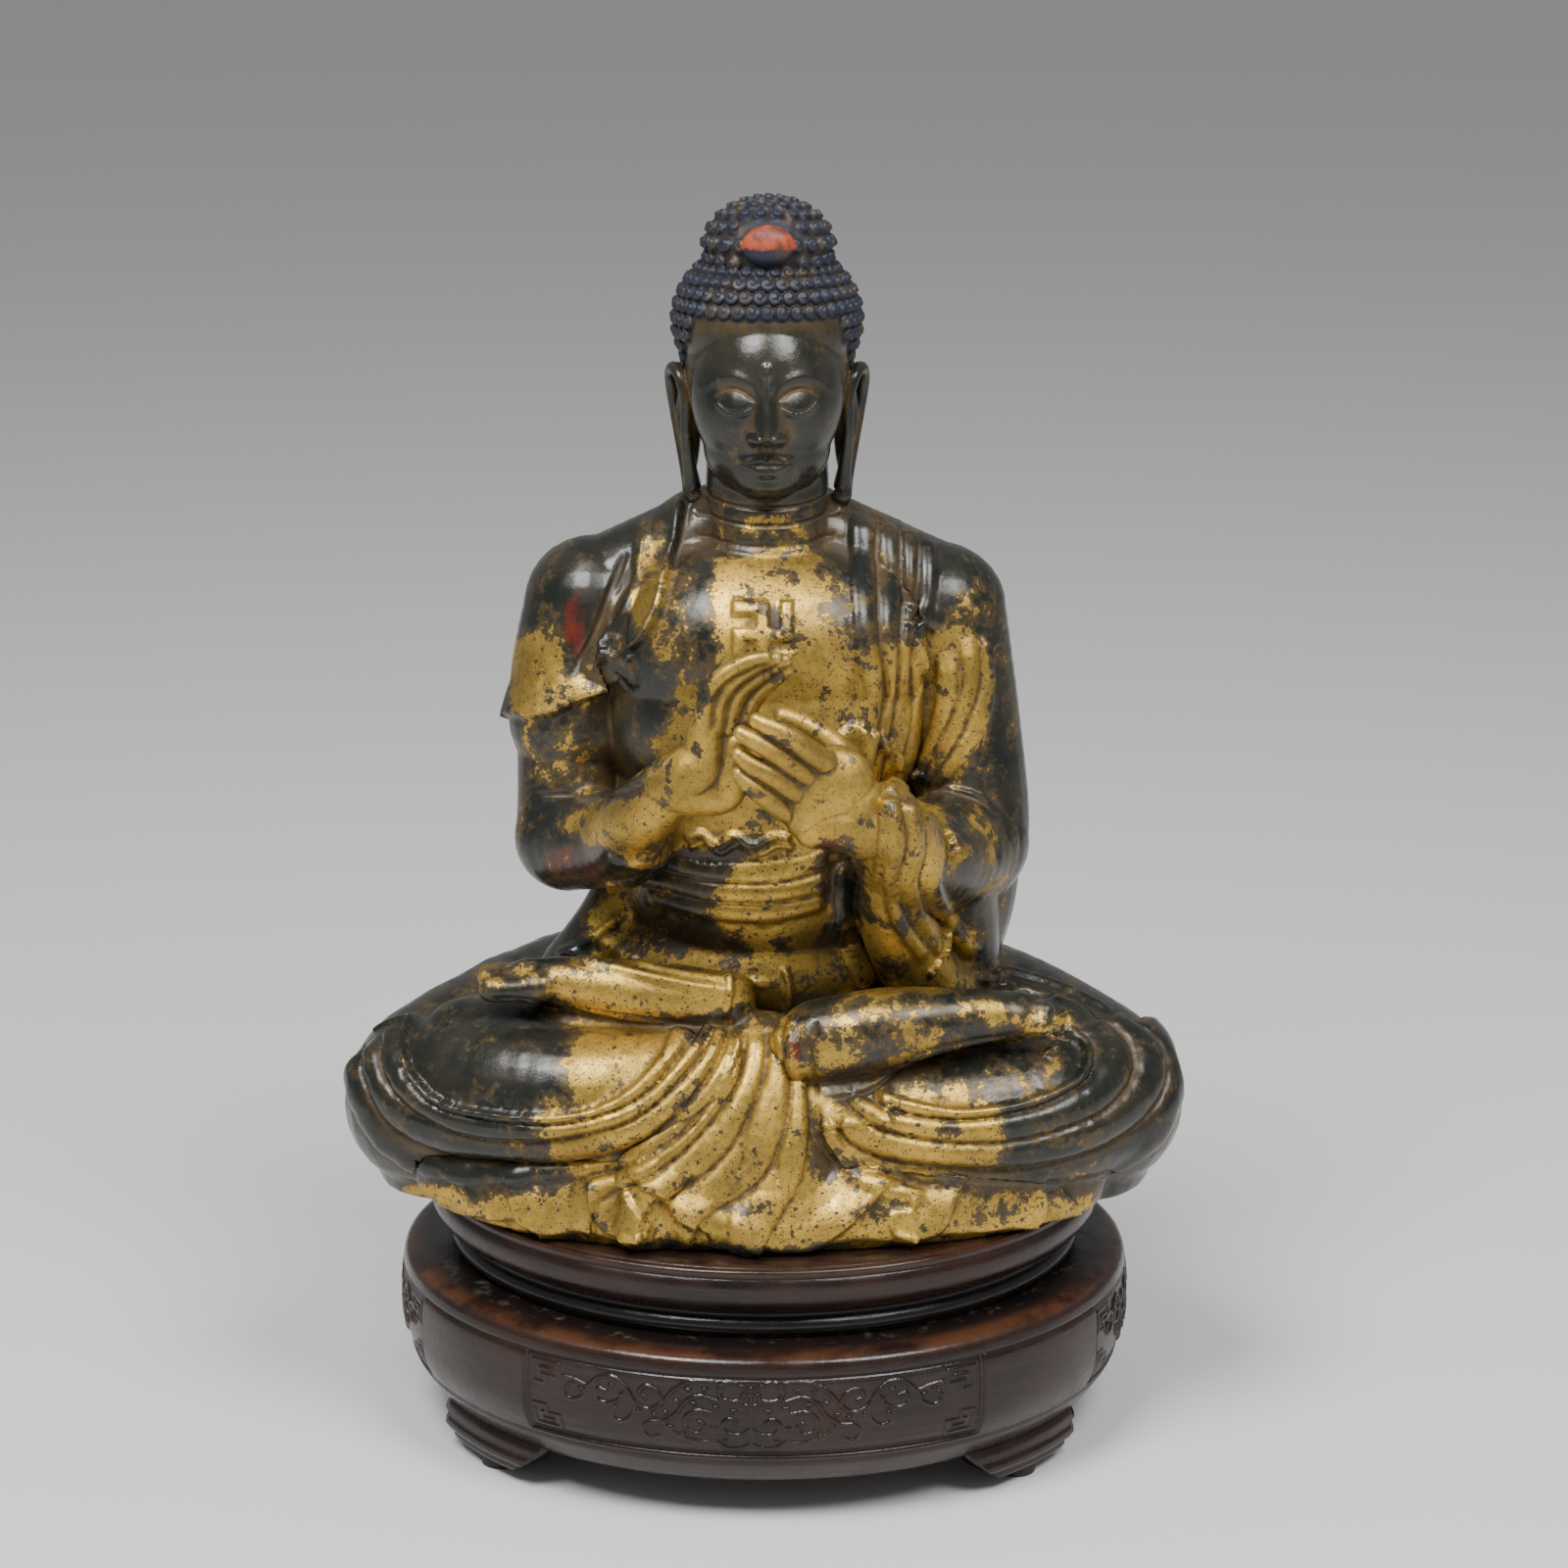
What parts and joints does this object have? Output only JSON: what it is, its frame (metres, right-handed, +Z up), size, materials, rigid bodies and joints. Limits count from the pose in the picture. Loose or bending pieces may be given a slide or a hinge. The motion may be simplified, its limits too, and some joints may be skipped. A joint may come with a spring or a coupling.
{
  "type": "vairocana buddha statue",
  "caption": "Seated vairocana buddha in gilded and lacquered bronze with joined hands, draped robe and snail-curl hair, on an oval carved hardwood stand.",
  "frame": {"origin": "middle of the footprint, at the undersides of the pads", "axes": "+Z up, the figure faces -Y, +X is to the viewer's right"},
  "size_m": [0.3016, 0.2308, 0.4454],
  "materials": {
    "gilt_bronze": "worn gilding over dark lacquered bronze",
    "dark_hardwood": "polished",
    "black_rubber": "matt"
  },
  "bodies": {
    "root": {"buddha_figure": "gilt_bronze", "wooden_stand": "dark_hardwood", "foot_pad_front_left": "black_rubber", "foot_pad_front_right": "black_rubber", "foot_pad_back_left": "black_rubber", "foot_pad_back_right": "black_rubber"}
  },
  "joints": []
}
